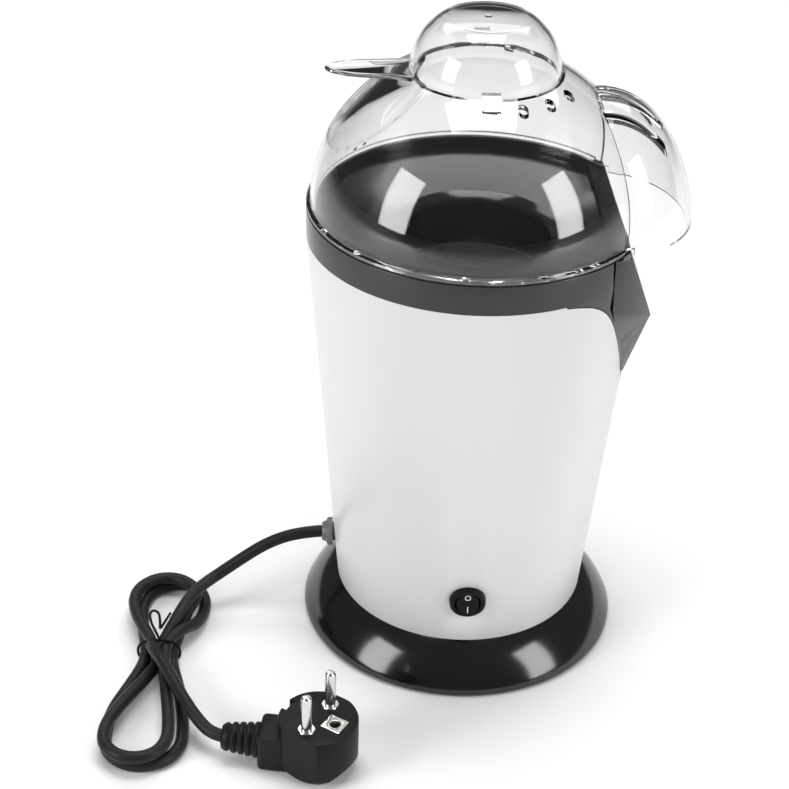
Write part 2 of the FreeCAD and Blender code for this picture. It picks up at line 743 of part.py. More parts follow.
COIL_LEVELS = (82.0, 88.0, 94.0, 100.0, 106.0)
COIL_RADIUS = 34.0
WIRE_RADIUS = 0.9


def coil(name, wire_radius):
    loops = []
    for level in COIL_LEVELS:
        loop = doc.addObject("Part::Torus", name + "_loop")
        loop.Radius1 = COIL_RADIUS
        loop.Radius2 = wire_radius
        loop.Placement = Placement(Vector(0, 0, level), Rotation())
        loops.append(loop)
    angle = math.radians(45.0)
    x, y = COIL_RADIUS * math.cos(angle), COIL_RADIUS * math.sin(angle)
    riser_height = COIL_LEVELS[-1] - COIL_LEVELS[0]
    loops.append(cylinder(name + "_riser", wire_radius, riser_height, (x, y, COIL_LEVELS[0])))
    return fuse(name, loops)


keep(coil("heating_coil", WIRE_RADIUS), "heater_coil")
cross = fuse("cross", [
    block("cross_x", 2 * num("shroud_bore") - 0.8, 1.2, 32.0, (-num("shroud_bore") + 0.4, -0.6, 78)),
    block("cross_y", 1.2, 2 * num("shroud_bore") - 0.8, 32.0, (-0.6, -num("shroud_bore") + 0.4, 78)),
])
keep(cut("frame_cut", cross, [coil("coil_room", WIRE_RADIUS + 0.05)]), "heater_frame")

thermostat_turn = Rotation(Vector(1, 0, 0), -90)
keep(cylinder("thermostat_can", 7.0, 8.0, (0, 42.3, 140), thermostat_turn), "thermostat")
keep(cylinder("fuse_can", 2.0, 12.0, (-44.4, 0, 125)), "thermal_fuse")

# ---------------------------------------------------------------- motor and fan

mount_bottom = num("mount_plate_bottom")
plate_top = num("plate_bottom") + num("plate_thickness")
mount_disc = cylinder("mount_disc", 44.0, "mount_plate_thickness", (0, 0, mount_bottom))
pillars = []
for angle, x, y in ring_of(3, 38.0, 30.0):
    pillars.append(cylinder("pillar", 3.5, mount_bottom - plate_top, (x, y, plate_top)))
mount_mass = fuse("mount_mass", [mount_disc] + pillars)
air_holes = [cylinder("mount_bore", 4.0, 10.0, (0, 0, mount_bottom - 4))]
for angle, x, y in ring_of(8, 28.0):
    air_holes.append(cylinder("air_hole", 6.0, 10.0, (x, y, mount_bottom - 4)))
keep(cut("mount_cut", mount_mass, air_holes), "motor_plate")

keep(turned("can", [
    ("can_radius", "can_bottom"), ("can_radius", "mount_plate_bottom"),
    (3.0, "mount_plate_bottom"), (3.0, ("mount_plate_bottom", -1.4)),
    (("can_radius", -1.4), ("mount_plate_bottom", -1.4)), (("can_radius", -1.4), "can_bottom"),
]), "motor_can")
keep(turned("endcap", [
    (1.9, ("can_bottom", -2.6)), (("can_radius", -0.6), ("can_bottom", -2.6)),
    ("can_radius", "can_bottom"), (1.9, "can_bottom"),
]), "motor_endcap")

fan_top = num("fan_bottom") + num("fan_height")
keep(cylinder("shaft", "shaft_radius", fan_top + 3.4 - 20.0, (0, 0, 20)), "motor_shaft")
keep(turned("rotor", [
    ("shaft_radius", 30.0), (9.5, 30.0), (9.5, 48.0), ("shaft_radius", 48.0),
]), "motor_rotor")

hub = turned("hub", [
    ("shaft_radius", "fan_bottom"), ("fan_radius", "fan_bottom"),
    ("fan_radius", ("fan_bottom", 1.6)), (7.0, ("fan_bottom", 1.6)),
    (6.0, ("fan_bottom", 13.0)), ("shaft_radius", ("fan_bottom", 13.0)),
])
vanes = [hub]
for angle, x, y in ring_of(8, 6.0):
    vane = block("vane", 24.6, 1.4, num("fan_height") - 2.0)
    lean = Rotation(Vector(0, 0, 1), angle)
    vane.Placement = Placement(Vector(x, y, num("fan_bottom") + 1.0), lean)
    vanes.append(vane)
keep(fuse("impeller", vanes), "fan_impeller")

nut_hex = doc.addObject("Part::Prism", "nut_hex")
nut_hex.Polygon = 6
nut_hex.Circumradius = 3.8
nut_hex.Height = 3.0
nut_hex.Placement = Placement(Vector(0, 0, fan_top), Rotation())
keep(cut("nut_cut", nut_hex, [cylinder("nut_bore", "shaft_radius", 10.0, (0, 0, fan_top - 2))]), "fan_nut")

# ---------------------------------------------------------------- electrics

board_parts = [block("board", 30.0, 18.0, 1.6, (-15, 26, plate_top + 5.0))]
for x in (-10.0, 10.0):
    board_parts.append(cylinder("board_post", 2.0, 5.0, (x, 35, plate_top)))
for step in range(4):
    diode_at = (-10.5 + 7.0 * step, 30, plate_top + 8.0)
    diode_turn = Rotation(Vector(1, 0, 0), -90)
    board_parts.append(cylinder("diode", 1.6, 9.0, diode_at, diode_turn))
keep(fuse("board_all", board_parts), "rectifier_board")

terminal_strip = block("terminal_strip", 12.0, 24.0, 11.0, (-46, -12, plate_top))
screw_wells = []
for y in (-8.0, 0.0, 8.0):
    screw_wells.append(cylinder("screw_well", 2.0, 6.0, (-40, y, plate_top + 7.0)))
keep(cut("terminal_cut", terminal_strip, screw_wells), "terminal_block")

# ---------------------------------------------------------------- check and export

doc.recompute()
for item in NODES:
    if "Invalid" in item.State or "Error" in item.State:
        raise RuntimeError("%s did not rebuild" % item.Label)
    if item.Shape.isNull() or not item.Shape.isValid():
        raise RuntimeError("%s has no valid shape" % item.Label)
    solids = len(item.Shape.Solids)
    box = item.Shape.BoundBox
    print("%-18s solids %d volume %9.1f  z %6.1f to %6.1f" % (
        item.Label, solids, item.Shape.Volume, box.ZMin, box.ZMax))
    item.Shape.exportStep("parts/%s.step" % item.Label)
print("%d sub-parts" % len(NODES))
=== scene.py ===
"""Hot-air popcorn maker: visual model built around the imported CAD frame."""

import math

import bmesh
import bpy
from mathutils import Matrix, Vector


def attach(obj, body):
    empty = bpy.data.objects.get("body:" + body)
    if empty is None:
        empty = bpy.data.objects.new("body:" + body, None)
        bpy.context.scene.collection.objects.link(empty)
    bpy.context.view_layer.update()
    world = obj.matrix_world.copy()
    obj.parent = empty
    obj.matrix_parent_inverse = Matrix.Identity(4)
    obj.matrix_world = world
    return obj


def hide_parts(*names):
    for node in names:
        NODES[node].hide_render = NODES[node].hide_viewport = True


bl_info = {
    "name": "Popcorn Maker",
    "version": (1, 0, 0),
    "blender": (4, 5, 0),
    "location": "View3D > Sidebar > Popcorn",
    "description": "Builds a hot-air popcorn maker piece by piece around its CAD frame",
    "category": "Object",
}

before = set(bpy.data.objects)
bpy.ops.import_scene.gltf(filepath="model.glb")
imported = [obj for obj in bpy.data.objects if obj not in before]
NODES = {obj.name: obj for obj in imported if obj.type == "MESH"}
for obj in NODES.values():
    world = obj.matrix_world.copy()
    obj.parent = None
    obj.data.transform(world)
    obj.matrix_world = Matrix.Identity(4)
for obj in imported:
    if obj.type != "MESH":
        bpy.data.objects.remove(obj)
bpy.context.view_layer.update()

MM = 0.001
FULL_TURN = 2.0 * math.pi
MATERIAL_PREFIX = "popper_"


# ---------------------------------------------------------------- settings

class PopcornSizes(bpy.types.PropertyGroup):
    """Sizes that a user would change."""

    cord_diameter: bpy.props.FloatProperty(
        name="Cord diameter", description="Outside diameter of the mains cord",
        default=0.0058, unit="LENGTH")
    edge_radius: bpy.props.FloatProperty(
        name="Edge radius", description="Rounding on the moulded edges",
        default=0.0006, unit="LENGTH")
    wall: bpy.props.FloatProperty(
        name="Cover wall", description="Wall thickness of the clear cover",
        default=0.002, unit="LENGTH")
    round_steps: bpy.props.IntProperty(
        name="Round steps", description="Steps in a full turn of a round piece",
        default=144, min=24, max=256)


class PopcornColours(bpy.types.PropertyGroup):
    """Colours that a user would change."""

    shell: bpy.props.FloatVectorProperty(
        name="Shell", description="Satin plastic of the body", subtype="COLOR",
        default=(0.72, 0.72, 0.715))
    black: bpy.props.FloatVectorProperty(
        name="Black", description="Gloss plastic of the base and collar", subtype="COLOR",
        default=(0.006, 0.006, 0.0063))
    clear: bpy.props.FloatVectorProperty(
        name="Clear", description="Tint of the clear cover and cup", subtype="COLOR",
        default=(0.945, 0.95, 0.955))
    cord: bpy.props.FloatVectorProperty(
        name="Cord", description="Sheath of the mains cord", subtype="COLOR",
        default=(0.018, 0.018, 0.019))


def sizes():
    return bpy.context.scene.popcorn_sizes


def colours():
    return bpy.context.scene.popcorn_colours


# ---------------------------------------------------------------- materials

def new_material(name):
    material = bpy.data.materials.new(name)
    material.use_nodes = True
    return material, material.node_tree.nodes, material.node_tree.links


def plastic(name, colour, tone, roughness, grain=900.0, bump=0.05, spread=0.06,
            metallic=0.0, coat=0.0, ior=1.5, stretch=(1.0, 1.0, 1.0), depth=0.0002,
            shine=0.5):
    """Moulded or metal surface: broad tone drift, grain in the gloss and a fine relief."""
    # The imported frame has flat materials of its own, some with the same plain names.
    name = MATERIAL_PREFIX + name
    if name in bpy.data.materials:
        return bpy.data.materials[name]
    material, nodes, links = new_material(name)
    shader = nodes["Principled BSDF"]
    shader.inputs["Metallic"].default_value = metallic
    shader.inputs["Coat Weight"].default_value = coat
    shader.inputs["Coat Roughness"].default_value = 0.06
    shader.inputs["IOR"].default_value = ior
    shader.inputs["Specular IOR Level"].default_value = shine
    where = nodes.new("ShaderNodeTexCoord")
    mapping = nodes.new("ShaderNodeMapping")
    mapping.inputs["Scale"].default_value = stretch
    links.new(where.outputs["Object"], mapping.inputs["Vector"])

    drift = nodes.new("ShaderNodeTexNoise")
    drift.inputs["Scale"].default_value = 22.0
    drift.inputs["Detail"].default_value = 3.0
    links.new(mapping.outputs["Vector"], drift.inputs["Vector"])
    tint = nodes.new("ShaderNodeValToRGB")
    tint.color_ramp.elements[0].position = 0.3
    tint.color_ramp.elements[1].position = 0.7
    tint.color_ramp.elements[0].color = (*[c * (1.0 - tone) for c in colour], 1.0)
    tint.color_ramp.elements[1].color = (*[min(1.0, c * (1.0 + tone)) for c in colour], 1.0)
    links.new(drift.outputs["Fac"], tint.inputs["Fac"])
    links.new(tint.outputs["Color"], shader.inputs["Base Color"])

    fine = nodes.new("ShaderNodeTexNoise")
    fine.inputs["Scale"].default_value = grain
    fine.inputs["Detail"].default_value = 2.0
    links.new(mapping.outputs["Vector"], fine.inputs["Vector"])
    gloss = nodes.new("ShaderNodeMapRange")
    gloss.inputs["To Min"].default_value = max(0.02, roughness - spread)
    gloss.inputs["To Max"].default_value = roughness + spread
    links.new(fine.outputs["Fac"], gloss.inputs["Value"])
    links.new(gloss.outputs["Result"], shader.inputs["Roughness"])
    relief = nodes.new("ShaderNodeBump")
    relief.inputs["Strength"].default_value = bump
    relief.inputs["Distance"].default_value = depth
    links.new(fine.outputs["Fac"], relief.inputs["Height"])
    links.new(relief.outputs["Normal"], shader.inputs["Normal"])
    return material


def clear_plastic(name):
    """Polished clear plastic that bends and reflects light."""
    material = plastic(name, colours().clear, 0.01, 0.03, grain=60.0, bump=0.01, spread=0.012,
                       ior=1.49)
    shader = material.node_tree.nodes["Principled BSDF"]
    shader.inputs["Transmission Weight"].default_value = 1.0
    return material


def shell_white():
    return plastic("shell_white", colours().shell, 0.012, 0.33, grain=1400.0, bump=0.08, coat=0.05)


def gloss_black():
    return plastic("gloss_black", colours().black, 0.2, 0.14, grain=500.0, bump=0.02,
                   spread=0.03, shine=0.7)


def satin_black():
    return plastic("satin_black", (0.008, 0.008, 0.0085), 0.2, 0.34, grain=1500.0, bump=0.1,
                   shine=0.12)


def cord_black():
    return plastic("cord_black", colours().cord, 0.2, 0.4, grain=1200.0, bump=0.12, shine=0.15)


def plug_black():
    return plastic("plug_black", (0.01, 0.01, 0.0105), 0.15, 0.42, grain=1800.0, bump=0.18,
                   shine=0.15)


def grey_nylon():
    return plastic("grey_nylon", (0.13, 0.13, 0.135), 0.05, 0.42, grain=1500.0, bump=0.1)


def nickel():
    return plastic("nickel", (0.72, 0.71, 0.69), 0.05, 0.2, grain=700.0, bump=0.08,
                   metallic=1.0, stretch=(1.0, 1.0, 0.15))


def aluminium():
    return plastic("aluminium", (0.62, 0.63, 0.64), 0.05, 0.34, grain=900.0, bump=0.15,
                   metallic=1.0, stretch=(1.0, 1.0, 0.1))


def steel():
    return plastic("steel", (0.5, 0.5, 0.5), 0.08, 0.38, grain=600.0, bump=0.15,
                   metallic=1.0, stretch=(1.0, 1.0, 0.2))


def rubber():
    return plastic("rubber", (0.03, 0.03, 0.03), 0.15, 0.75, grain=1600.0, bump=0.3)


CAD_FINISHES = {
    "bottom_plate": ("satin_black", satin_black),
    "rubber_foot_1": ("rubber", rubber),
    "rubber_foot_2": ("rubber", rubber),
    "rubber_foot_3": ("rubber", rubber),
    "rubber_foot_4": ("rubber", rubber),
    "chamber_gasket": ("rubber", rubber),
    "heater_shroud": ("steel", steel),
    "motor_can": ("steel", steel),
    "motor_plate": ("steel", steel),
    "motor_shaft": ("steel", steel),
    "fan_nut": ("steel", steel),
    "thermostat": ("steel", steel),
    "thermal_fuse": ("steel", steel),
}
INNER_FINISHES = {
    "heater_coil": ("heating_wire", (0.33, 0.3, 0.28), 0.42, 1.0),
    "heater_frame": ("mica_sheet", (0.5, 0.42, 0.28), 0.5, 0.0),
    "motor_rotor": ("rotor_iron", (0.2, 0.2, 0.21), 0.55, 1.0),
    "motor_endcap": ("white_nylon", (0.72, 0.7, 0.65), 0.45, 0.0),
    "fan_impeller": ("white_nylon", (0.72, 0.7, 0.65), 0.45, 0.0),
    "terminal_block": ("white_nylon", (0.72, 0.7, 0.65), 0.45, 0.0),
    "rectifier_board": ("green_board", (0.05, 0.18, 0.08), 0.4, 0.0),
}


# ---------------------------------------------------------------- mesh helpers

def profile_loop(bm, points, closed=True):
    """Edge loop in the XZ plane through (radius, height) points in millimetres."""
    verts = [bm.verts.new((radius * MM, 0.0, height * MM)) for radius, height in points]
    edges = [bm.edges.new(pair) for pair in zip(verts, verts[1:])]
    if closed:
        edges.append(bm.edges.new((verts[-1], verts[0])))
    return verts + edges


def spun(points, closed=True, steps=None):
    """Piece turned about Z from a profile."""
    bm = bmesh.new()
    bmesh.ops.spin(
        bm, geom=profile_loop(bm, points, closed), axis=(0, 0, 1), cent=(0, 0, 0),
        angle=FULL_TURN, steps=steps or sizes().round_steps, use_merge=True)
    bmesh.ops.remove_doubles(bm, verts=bm.verts[:], dist=2e-6)
    bmesh.ops.recalc_face_normals(bm, faces=bm.faces[:])
    return bm


def soften(bm, offset, angle=30.0, segments=3, keep=None):
    """Round every edge sharper than the angle."""
    limit = math.radians(angle)
    edges = [e for e in bm.edges if len(e.link_faces) == 2 and e.calc_face_angle(0.0) > limit
             and (keep is None or keep(e))]
    bmesh.ops.bevel(bm, geom=edges, offset=offset, offset_type="OFFSET", segments=segments,
                    profile=0.5, affect="EDGES", material=-1, clamp_overlap=True)
    return bm


def slab(outline, low, high, axis="Z"):
    """Prism over an outline in millimetres, standing along the axis."""
    bm = bmesh.new()
    place = {
        "Z": lambda u, v: (u * MM, v * MM, low * MM),
        "X": lambda u, v: (low * MM, u * MM, v * MM),
    }[axis]
    verts = [bm.verts.new(place(u, v)) for u, v in outline]
    face = bm.faces.new(verts)
    grown = bmesh.ops.extrude_face_region(bm, geom=[face])["geom"]
    moved = [g for g in grown if isinstance(g, bmesh.types.BMVert)]
    rise = (high - low) * MM
    step = (0.0, 0.0, rise) if axis == "Z" else (rise, 0.0, 0.0)
    bmesh.ops.translate(bm, verts=moved, vec=step)
    bmesh.ops.recalc_face_normals(bm, faces=bm.faces[:])
    return bm


def ball(radius_x, radius_y, radius_z, centre):
    """Ellipsoid in millimetres."""
    bm = bmesh.new()
    bmesh.ops.create_uvsphere(bm, u_segments=112, v_segments=56, radius=1.0)
    bmesh.ops.scale(bm, vec=(radius_x * MM, radius_y * MM, radius_z * MM), verts=bm.verts[:])
    bmesh.ops.translate(bm, vec=Vector(centre) * MM, verts=bm.verts[:])
    return bm


def sliced(bm, point, normal):
    """Keep the side behind the plane and close the cut."""
    geom = bm.verts[:] + bm.edges[:] + bm.faces[:]
    bmesh.ops.bisect_plane(bm, geom=geom, dist=1e-7, plane_co=Vector(point) * MM,
                           plane_no=normal, clear_outer=True)
    rim = [e for e in bm.edges if e.is_boundary]
    bmesh.ops.holes_fill(bm, edges=rim, sides=0)
    return bm


def rod(radius, low, high, at=(0.0, 0.0), steps=48):
    """Upright cylinder in millimetres."""
    bm = bmesh.new()
    bmesh.ops.create_cone(bm, cap_ends=True, segments=steps, radius1=radius * MM,
                          radius2=radius * MM, depth=(high - low) * MM)
    middle = Vector((at[0], at[1], (low + high) / 2.0)) * MM
    bmesh.ops.translate(bm, vec=middle, verts=bm.verts[:])
    return bm


def brick(low, high):
    """Box between two corners in millimetres."""
    bm = bmesh.new()
    bmesh.ops.create_cube(bm, size=1.0)
    low, high = Vector(low) * MM, Vector(high) * MM
    bmesh.ops.scale(bm, vec=high - low, verts=bm.verts[:])
    bmesh.ops.translate(bm, vec=(low + high) / 2.0, verts=bm.verts[:])
    return bm


def placed(bm, matrix):
    bmesh.ops.transform(bm, matrix=matrix, verts=bm.verts[:])
    return bm


def to_object(bm, name):
    mesh = bpy.data.meshes.new(name)
    bm.to_mesh(mesh)
    bm.free()
    item = bpy.data.objects.new(name, mesh)
    bpy.context.scene.collection.objects.link(item)
    return item


def combined(base, steps):
    """Boolean steps applied in order, each an operation and a tool mesh."""
    item = to_object(base, "work")
    tools = []
    for operation, bm in steps:
        tool = to_object(bm, "tool")
        tools.append(tool)
        modifier = item.modifiers.new("step", "BOOLEAN")
        modifier.operation = operation
        modifier.solver = "EXACT"
        modifier.object = tool
    bpy.context.view_layer.update()
    evaluated = item.evaluated_get(bpy.context.evaluated_depsgraph_get())
    result = bmesh.new()
    mesh = bpy.data.meshes.new_from_object(evaluated)
    result.from_mesh(mesh)
    bpy.data.meshes.remove(mesh)
    for spent in tools + [item]:
        data = spent.data
        bpy.data.objects.remove(spent)
        bpy.data.meshes.remove(data)
    bmesh.ops.remove_doubles(result, verts=result.verts[:], dist=3e-6)
    return result


def node_copy(node):
    """Mesh of a CAD node with its loose triangles joined up."""
    bm = bmesh.new()
    bm.from_mesh(NODES[node].data)
    bmesh.ops.remove_doubles(bm, verts=bm.verts[:], dist=5e-6)
    return bm


def finished(bm, name, material, body="base", nodes=(), sharp=28.0):
    """Turn a mesh into a piece with clean shading that rides on its body."""
    limit = math.radians(sharp)
    for face in bm.faces:
        face.smooth = True
        face.material_index = 0
    for edge in bm.edges:
        edge.smooth = len(edge.link_faces) == 2 and edge.calc_face_angle(0.0) < limit
    item = to_object(bm, name)
    item.data.materials.clear()
    item.data.materials.append(material)
    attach(item, body)
    if nodes:
        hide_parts(*nodes)
    return item


# ---------------------------------------------------------------- body pieces

SKIRT_OUTSIDE = [
    (75.0, 1.0), (75.0, 2.6), (73.9, 4.9), (72.4, 7.6), (70.5, 10.5), (68.3, 13.4), (65.8, 16.1),
    (63.0, 18.6), (60.6, 20.4), (59.0, 21.3),
]
SKIRT_INSIDE = [(52.0, 21.3), (52.0, 19.3), (57.0, 19.3), (66.2, 12.0), (71.6, 4.6), (72.8, 1.0)]
SHELL_PROFILE = [(59.0, 21.35), (74.8, 202.75), (72.8, 202.75), (57.0, 21.35)]
NOTCH_HALF = [
    (68.3, 206.0), (66.9, 201.9), (63.3, 200.5), (59.6, 198.5), (56.3, 195.8), (53.1, 192.4),
    (49.6, 187.7), (45.6, 181.0), (41.5, 173.5), (36.0, 163.9), (30.8, 155.2), (25.9, 147.6),
    (21.8, 142.2), (17.6, 138.0), (13.3, 134.9), (9.3, 132.9), (4.8, 131.7),
]
SWITCH_HEIGHT = 46.0
SWITCH_RADIUS = 61.29
SWITCH_PLACE = (Matrix.Translation(Vector((0.0, -SWITCH_RADIUS, SWITCH_HEIGHT)) * MM)
                @ Matrix.Rotation(math.radians(95.3), 4, "X"))
GLAND_PLACE = (Matrix.Translation(Vector((-60.73, 0.0, 40.0)) * MM)
               @ Matrix.Rotation(math.radians(-90.0), 4, "Y"))


class POPCORN_OT_base(bpy.types.Operator):
    """Flared gloss base skirt"""

    bl_idname = "popcorn.base"
    bl_label = "Base skirt"

    def execute(self, context):
        bm = spun(SKIRT_OUTSIDE + SKIRT_INSIDE)
        soften(bm, sizes().edge_radius, 40.0)
        finished(bm, "skirt", gloss_black(), nodes=["base_skirt"])
        return {"FINISHED"}


class POPCORN_OT_shell(bpy.types.Operator):
    """White conical shell with its notch, switch hole and gland hole"""

    bl_idname = "popcorn.shell"
    bl_label = "Body shell"

    def execute(self, context):
        outline = NOTCH_HALF + [(-half, height) for half, height in reversed(NOTCH_HALF)]
        switch_hole = placed(rod(8.35, -10.0, 10.0), SWITCH_PLACE)
        gland_hole = placed(rod(4.6, -10.0, 10.0), GLAND_PLACE)
        bm = combined(spun(SHELL_PROFILE), [
            ("DIFFERENCE", slab(outline, 25.0, 95.0, "X")),
            ("DIFFERENCE", switch_hole),
            ("DIFFERENCE", gland_hole),
        ])
        soften(bm, 0.0003, 50.0, 2)
        finished(bm, "shell", shell_white(), nodes=["body_shell"])
        return {"FINISHED"}


class POPCORN_OT_collar(bpy.types.Operator):
    """Gloss collar with the ramp and chin"""

    bl_idname = "popcorn.collar"
    bl_label = "Top collar"

    def execute(self, context):
        bm = node_copy("top_collar")
        bmesh.ops.dissolve_limit(bm, angle_limit=math.radians(0.4), verts=bm.verts[:],
                                 edges=bm.edges[:])
        soften(bm, 0.0004, 24.0, 2)
        finished(bm, "collar", gloss_black(), nodes=["top_collar"], sharp=20.0)
        return {"FINISHED"}


class POPCORN_OT_tray(bpy.types.Operator):
    """Gloss funnel tray with its throat"""

    bl_idname = "popcorn.tray"
    bl_label = "Funnel tray"

    def execute(self, context):
        bm = spun([
            (71.0, 212.0), (66.5, 212.0), (37.0, 205.5), (32.4, 202.5), (32.4, 182.0), (34.2, 182.0),
            (34.2, 201.6), (37.6, 203.7), (66.8, 210.2), (71.0, 210.2),
        ])
        soften(bm, 0.0004, 15.0, 2)
        sliced(bm, (59.6, 0.0, 200.0), (1.0, 0.0, 0.0))
        finished(bm, "tray", gloss_black(), nodes=["funnel_tray"], sharp=24.0)
        chamber = node_copy("popping_chamber")
        finished(chamber, "chamber", aluminium(), nodes=["popping_chamber"],
                 sharp=30.0)
        return {"FINISHED"}


# ---------------------------------------------------------------- clear pieces

COVER_BASE = 216.8
DOME = (73.3, 69.4)
HOOD_CENTRE = (50.0, 0.0, 205.0)
HOOD = (43.5, 44.5, 65.0)
FACET_TURN = math.radians(-38.5)
FACET_NORMAL = Vector((math.sin(FACET_TURN), 0.0, math.cos(FACET_TURN)))


def dome_form(inset, floor):
    """Dome with the finger facet, moved inwards by the inset."""
    radius, rise = DOME
    bm = ball(radius - inset, radius - inset, rise - inset, (0.0, 0.0, COVER_BASE))
    sliced(bm, (0.0, 0.0, floor), (0.0, 0.0, -1.0))
    sliced(bm, Vector((-28.0, 0.0, 277.2)) - FACET_NORMAL * inset, FACET_NORMAL)
    return bm


def hood_form(inset, floor):
    bm = ball(HOOD[0] - inset, HOOD[1] - inset, HOOD[2] - inset, HOOD_CENTRE)
    return sliced(bm, (0.0, 0.0, floor), (0.0, 0.0, -1.0))


class POPCORN_OT_cover(bpy.types.Operator):
    """Clear domed cover with the outlet hood, vents and rim"""

    bl_idname = "popcorn.cover"
    bl_label = "Clear cover"

    def execute(self, context):
        wall = sizes().wall / MM
        rim = spun([
            (68.4, 213.4), (70.4, 213.4), (70.4, 216.8), (74.7, 216.8), (74.7, 218.2), (74.0, 219.0),
            (71.3, 219.3), (68.4, 218.2),
        ])
        sliced(rim, (58.0, 0.0, 216.0), (1.0, 0.0, 0.0))
        steps = [
            ("UNION", combined(hood_form(0.0, 213.6), [
                ("DIFFERENCE", brick((-10.0, -90.0, 200.0), (62.9, 90.0, COVER_BASE)))])),
            ("UNION", rim),
            ("DIFFERENCE", dome_form(wall, COVER_BASE - 6.0)),
            ("DIFFERENCE", hood_form(wall, 190.0)),
            ("DIFFERENCE", rod(28.5, 265.0, 295.0, steps=96)),
            ("DIFFERENCE", rod(32.8, 277.2, 296.0, steps=96)),
        ]
        for angle in (-70, -50, -30, 30, 50, 70):
            turn = math.radians(angle)
            at = (38.0 * math.cos(turn), 38.0 * math.sin(turn))
            steps.append(("DIFFERENCE", rod(2.2, 262.0, 292.0, at, 32)))
        for y in (-16.2, -5.4, 5.4, 16.2):
            slot = soften(brick((48.0, y - 1.4, 240.0), (76.0, y + 1.4, 280.0)), 0.00135, 60.0, 4,
                          keep=lambda e: abs(e.verts[0].co.z - e.verts[1].co.z) > 0.01)
            steps.append(("DIFFERENCE", slot))
        bm = combined(dome_form(0.0, COVER_BASE), steps)
        finished(bm, "cover", clear_plastic("clear_plastic"), "cover",
                 ["dome_cover"], 32.0)
        return {"FINISHED"}


CUP_PROFILE = [
    (32.1, 277.4), (32.1, 278.6), (31.9, 281.5), (31.4, 284.5), (30.5, 287.6), (29.3, 290.5),
    (27.7, 293.2), (25.7, 295.8), (23.3, 298.2), (20.6, 300.3), (18.6, 301.5), (17.2, 301.8),
    (0.0, 301.8), (0.0, 300.2), (16.8, 300.2), (18.9, 299.5), (22.0, 297.0), (24.5, 294.6),
    (26.5, 292.0), (28.2, 289.0), (29.5, 285.6), (30.3, 281.8), (30.5, 277.4),
]
HANDLE_HALF = [
    (-30.8, 12.5), (-36.0, 10.6), (-44.0, 9.2), (-52.0, 8.6), (-58.0, 7.4), (-62.5, 5.4), (-65.6, 2.8),
    (-67.2, 0.0),
]


class POPCORN_OT_cup(bpy.types.Operator):
    """Measuring cup used upside down as the cap, with its handle and tabs"""

    bl_idname = "popcorn.cup"
    bl_label = "Measuring cup"

    def execute(self, context):
        outline = HANDLE_HALF + [(x, -half) for x, half in reversed(HANDLE_HALF[:-1])]
        handle = soften(slab(outline, 277.4, 279.0), 0.0005, 40.0, 2)
        lip = combined(slab([(x + 1.4, half * 0.84) for x, half in outline], 278.4, 281.0), [])
        handle = combined(handle, [("DIFFERENCE", lip)])
        tabs = combined(ball(75.3, 75.3, 71.4, (0.0, 0.0, COVER_BASE)), [
            ("DIFFERENCE", ball(73.7, 73.7, 69.8, (0.0, 0.0, COVER_BASE)))])
        front = combined(tabs.copy(), [
            ("INTERSECT", soften(brick((-3.8, -40.5, 262.0), (3.8, -31.3, 292.0)), 0.0012, 60.0))])
        back = combined(tabs, [
            ("INTERSECT", soften(brick((-3.8, 31.3, 262.0), (3.8, 40.5, 292.0)), 0.0012, 60.0))])
        bm = combined(spun(CUP_PROFILE), [
            ("UNION", handle), ("UNION", front), ("UNION", back),
            ("UNION", rod(1.6, 301.4, 302.4)),
        ])
        finished(bm, "cup", clear_plastic("clear_plastic"), "cup",
                 ["measuring_cup"], 32.0)
        return {"FINISHED"}


# ---------------------------------------------------------------- switch, gland

class POPCORN_OT_switch(bpy.types.Operator):
    """Round rocker switch and its marks"""

    bl_idname = "popcorn.switch"
    bl_label = "Rocker switch"

    def execute(self, context):
        bezel = spun([
            (6.0, 2.0), (6.4, 2.3), (7.5, 2.3), (8.1, 1.9), (8.25, 1.2), (8.25, -2.2), (7.0, -2.2),
            (7.0, -14.0), (0.0, -14.0), (0.0, -12.5), (6.0, -12.5),
        ], steps=64)
        for x in (-3.5, 3.5):
            blade = brick((x - 0.4, -2.4, -20.6), (x + 0.4, 2.4, -13.6))
            bezel = combined(bezel, [("UNION", blade)])
        finished(placed(bezel, SWITCH_PLACE), "switch_bezel", satin_black(),
                 nodes=["switch_housing"])
        drum_radius = 6.6
        disc_radius = 5.15
        side = slab([(-5.6, -0.8), (5.6, -0.8), (5.6, 1.0), (2.8, 1.2), (0.0, 1.8), (-2.8, 3.0),
                     (-5.6, 4.6)], -6.0, 6.0, "X")
        drum = placed(rod(drum_radius, -7.0, 7.0, steps=64),
                      Matrix.Translation((0.0, 0.0, 0.4 * MM)) @ Matrix.Rotation(math.pi / 2, 4, "Y"))
        disc = rod(disc_radius, -4.0, 8.0, steps=64)
        rocker = combined(side, [("INTERSECT", drum), ("INTERSECT", disc)])
        soften(rocker, 0.0003, 35.0, 2)
        finished(placed(rocker, SWITCH_PLACE), "rocker", satin_black(), "rocker",
                 ["switch_rocker"])
        mark = plastic("mark_white", (0.75, 0.75, 0.74), 0.03, 0.5)
        ring = spun([(1.0, -0.1), (1.4, -0.1), (1.4, 0.1), (1.0, 0.1)], steps=32)
        lean = Matrix.Rotation(math.radians(-6.0), 4, "X")
        placed(ring, SWITCH_PLACE @ Matrix.Translation((0.0, 0.0029, 0.00125)) @ lean)
        finished(ring, "mark_off", mark, "rocker")
        bar = brick((-0.22, -1.4, -0.1), (0.22, 1.4, 0.1))
        lean = Matrix.Rotation(math.radians(-27.0), 4, "X")
        placed(bar, SWITCH_PLACE @ Matrix.Translation((0.0, -0.0027, 0.00302)) @ lean)
        finished(bar, "mark_on", mark, "rocker")
        return {"FINISHED"}


